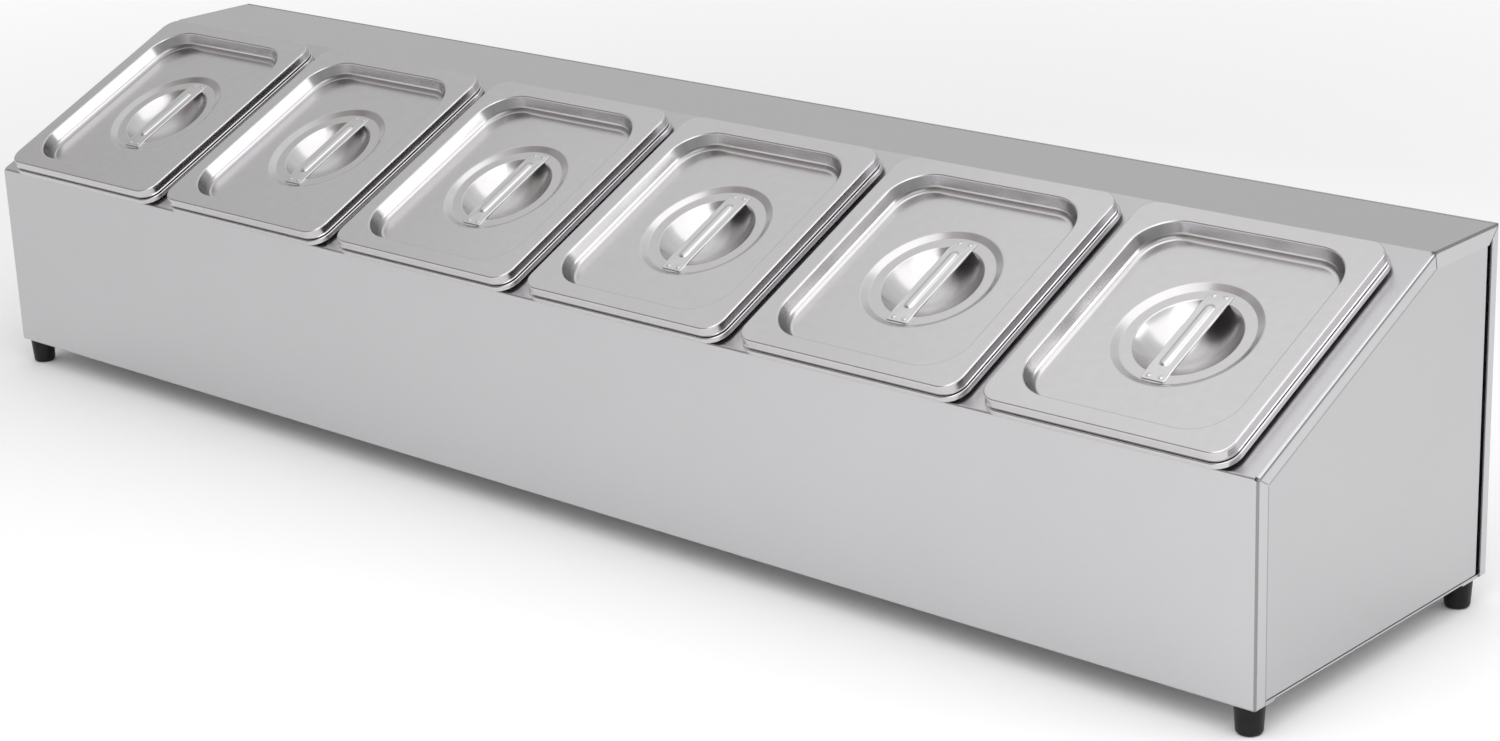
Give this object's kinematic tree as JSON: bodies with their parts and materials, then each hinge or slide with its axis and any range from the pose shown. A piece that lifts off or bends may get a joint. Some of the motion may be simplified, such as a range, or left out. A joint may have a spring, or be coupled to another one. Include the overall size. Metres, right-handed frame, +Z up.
{
  "type": "buffet condiment dispenser",
  "caption": "Countertop condiment station: a sloped stainless case on rubber feet holds a row of lift-out pans, each under a lift-off lid with a strap handle.",
  "frame": {"origin": "bottom centre of the whole part's box, on the surface that the feet stand on", "axes": "+X along the row of pans, +Y from the low front to the high back, +Z up"},
  "size_m": [1.07, 0.2426, 0.2292],
  "materials": {
    "case_steel": "satin",
    "pan_steel": "satin",
    "lid_steel": "satin",
    "handle_steel": "satin",
    "fastener_steel": "satin",
    "foot_rubber": "semi-matte"
  },
  "bodies": {
    "case": {"front_deck_panel": "case_steel", "left_end_panel": "case_steel", "right_end_panel": "case_steel", "back_panel": "case_steel", "bottom_plate": "case_steel", "back_panel_screws": "fastener_steel", "foot_front_left": "foot_rubber", "foot_front_right": "foot_rubber", "foot_rear_left": "foot_rubber", "foot_rear_right": "foot_rubber", "foot_screws": "fastener_steel", "foot_washers": "fastener_steel", "foot_nuts": "fastener_steel"},
    "pan_1_body": {"pan_1": "pan_steel"},
    "lid_1_body": {"lid_1": "lid_steel", "lid_handle_1": "handle_steel"},
    "pan_2_body": {"pan_2": "pan_steel"},
    "lid_2_body": {"lid_2": "lid_steel", "lid_handle_2": "handle_steel"},
    "pan_3_body": {"pan_3": "pan_steel"},
    "lid_3_body": {"lid_3": "lid_steel", "lid_handle_3": "handle_steel"},
    "pan_4_body": {"pan_4": "pan_steel"},
    "lid_4_body": {"lid_4": "lid_steel", "lid_handle_4": "handle_steel"},
    "pan_5_body": {"pan_5": "pan_steel"},
    "lid_5_body": {"lid_5": "lid_steel", "lid_handle_5": "handle_steel"},
    "pan_6_body": {"pan_6": "pan_steel"},
    "lid_6_body": {"lid_6": "lid_steel", "lid_handle_6": "handle_steel"}
  },
  "joints": [
    {"name": "pan_1_lift", "type": "slide", "parent": "case", "child": "pan_1_body", "axis": [0, -0.4226, 0.9063], "range_m": [0, 0.12]},
    {"name": "lid_1_lift", "type": "slide", "parent": "pan_1_body", "child": "lid_1_body", "axis": [0, -0.4226, 0.9063], "range_m": [0, 0.08]},
    {"name": "pan_2_lift", "type": "slide", "parent": "case", "child": "pan_2_body", "axis": [0, -0.4226, 0.9063], "range_m": [0, 0.12]},
    {"name": "lid_2_lift", "type": "slide", "parent": "pan_2_body", "child": "lid_2_body", "axis": [0, -0.4226, 0.9063], "range_m": [0, 0.08]},
    {"name": "pan_3_lift", "type": "slide", "parent": "case", "child": "pan_3_body", "axis": [0, -0.4226, 0.9063], "range_m": [0, 0.12]},
    {"name": "lid_3_lift", "type": "slide", "parent": "pan_3_body", "child": "lid_3_body", "axis": [0, -0.4226, 0.9063], "range_m": [0, 0.08]},
    {"name": "pan_4_lift", "type": "slide", "parent": "case", "child": "pan_4_body", "axis": [0, -0.4226, 0.9063], "range_m": [0, 0.12]},
    {"name": "lid_4_lift", "type": "slide", "parent": "pan_4_body", "child": "lid_4_body", "axis": [0, -0.4226, 0.9063], "range_m": [0, 0.08]},
    {"name": "pan_5_lift", "type": "slide", "parent": "case", "child": "pan_5_body", "axis": [0, -0.4226, 0.9063], "range_m": [0, 0.12]},
    {"name": "lid_5_lift", "type": "slide", "parent": "pan_5_body", "child": "lid_5_body", "axis": [0, -0.4226, 0.9063], "range_m": [0, 0.08]},
    {"name": "pan_6_lift", "type": "slide", "parent": "case", "child": "pan_6_body", "axis": [0, -0.4226, 0.9063], "range_m": [0, 0.12]},
    {"name": "lid_6_lift", "type": "slide", "parent": "pan_6_body", "child": "lid_6_body", "axis": [0, -0.4226, 0.9063], "range_m": [0, 0.08]}
  ]
}
